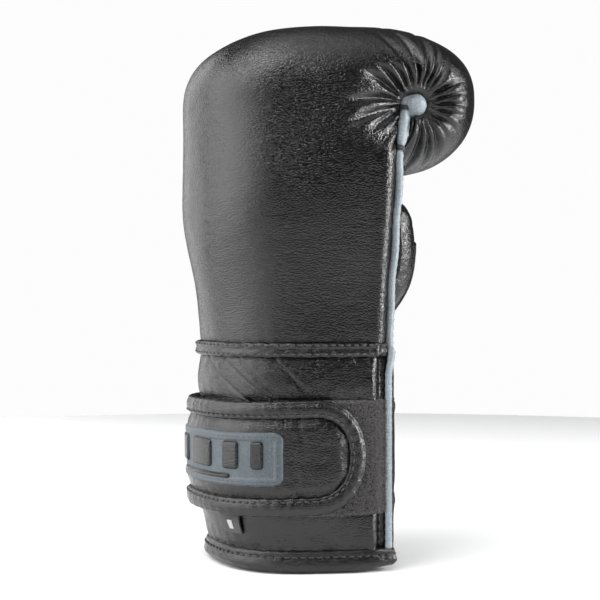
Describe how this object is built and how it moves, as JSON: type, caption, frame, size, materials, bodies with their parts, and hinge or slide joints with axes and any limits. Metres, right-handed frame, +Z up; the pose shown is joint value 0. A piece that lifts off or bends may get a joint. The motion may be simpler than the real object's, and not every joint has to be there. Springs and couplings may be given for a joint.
{
  "type": "boxing glove",
  "caption": "Right-hand padded boxing glove with a curled finger roll, a padded thumb, a slit cuff and a hook-and-loop wrist strap.",
  "frame": {"origin": "centre of the footprint, on the plane of the cuff's rim", "axes": "+Z up from the cuff towards the fingers, +X out of the palm, +Y towards the thumb"},
  "size_m": [0.1379, 0.1246, 0.2638],
  "materials": {
    "black_leather": "glossy",
    "blue_grey_leather": "glossy",
    "foam": "matte",
    "lining_fabric": "matte",
    "elastic": "matte",
    "loop_pile": "matte",
    "hook_tape": "matte",
    "woven_tag": "matte",
    "thread": "matte",
    "bar_core": "matte"
  },
  "bodies": {
    "glove": {"back_leather": "black_leather", "outer_foam": "foam", "inner_foam": "foam", "hand_lining": "lining_fabric", "roll_end_panel": "black_leather", "palm_leather": "blue_grey_leather", "palm_lining": "lining_fabric", "grip_bar_core": "bar_core", "grip_bar_cover": "blue_grey_leather", "little_finger_piping": "blue_grey_leather", "thumb_side_piping": "blue_grey_leather", "piping_tacks": "thread", "cuff_leather": "black_leather", "cuff_foam": "foam", "cuff_lining": "lining_fabric", "cuff_seam_band": "black_leather", "cuff_rim_binding": "black_leather", "cuff_palm_little_side": "black_leather", "cuff_palm_thumb_side": "black_leather", "slit_edge_tapes": "blue_grey_leather", "slit_elastic": "elastic", "loop_field": "loop_pile", "strap_root_tab": "black_leather", "size_tag": "woven_tag", "thumb_root_gusset": "black_leather"},
    "strap_palm": {"strap_palm_cover": "black_leather", "strap_palm_binding": "black_leather"},
    "strap_side": {"strap_side_cover": "black_leather", "strap_side_binding": "black_leather"},
    "strap_back": {"strap_back_cover": "black_leather", "strap_back_foam": "foam", "strap_back_binding": "black_leather", "strap_badge": "blue_grey_leather"},
    "strap_tip": {"strap_tip_cover": "black_leather", "strap_tip_foam": "foam", "strap_tip_binding": "black_leather", "strap_hook_tape": "hook_tape"},
    "thumb": {"thumb_leather": "black_leather", "thumb_foam": "foam", "thumb_lining": "lining_fabric", "thumb_grip_tab": "black_leather"}
  },
  "joints": [
    {"name": "strap_palm_peel", "type": "hinge", "parent": "glove", "child": "strap_palm", "pos_m": [0.021, -0.04645, 0], "axis": [0, 0, -1], "range_deg": [0, 45]},
    {"name": "strap_side_peel", "type": "hinge", "parent": "strap_palm", "child": "strap_side", "pos_m": [0.01753, 0.05544, 0], "axis": [0, 0, -1], "range_deg": [0, 60]},
    {"name": "strap_back_peel", "type": "hinge", "parent": "strap_side", "child": "strap_back", "pos_m": [-0.04974, 0.04401, 0], "axis": [0, 0, -1], "range_deg": [0, 68]},
    {"name": "strap_tip_peel", "type": "hinge", "parent": "strap_back", "child": "strap_tip", "pos_m": [-0.04255, -0.04868, 0], "axis": [0, 0, -1], "range_deg": [0, 70]},
    {"name": "thumb_flex", "type": "hinge", "parent": "glove", "child": "thumb", "pos_m": [0.01965, 0.037, 0.119], "axis": [0, 1, 0], "range_deg": [-6, 10]}
  ],
  "couplings": [
    {"joint": "strap_back_peel", "follows": "strap_tip_peel", "ratio": 0.95},
    {"joint": "strap_side_peel", "follows": "strap_tip_peel", "ratio": 0.8},
    {"joint": "strap_palm_peel", "follows": "strap_tip_peel", "ratio": 0.6}
  ]
}
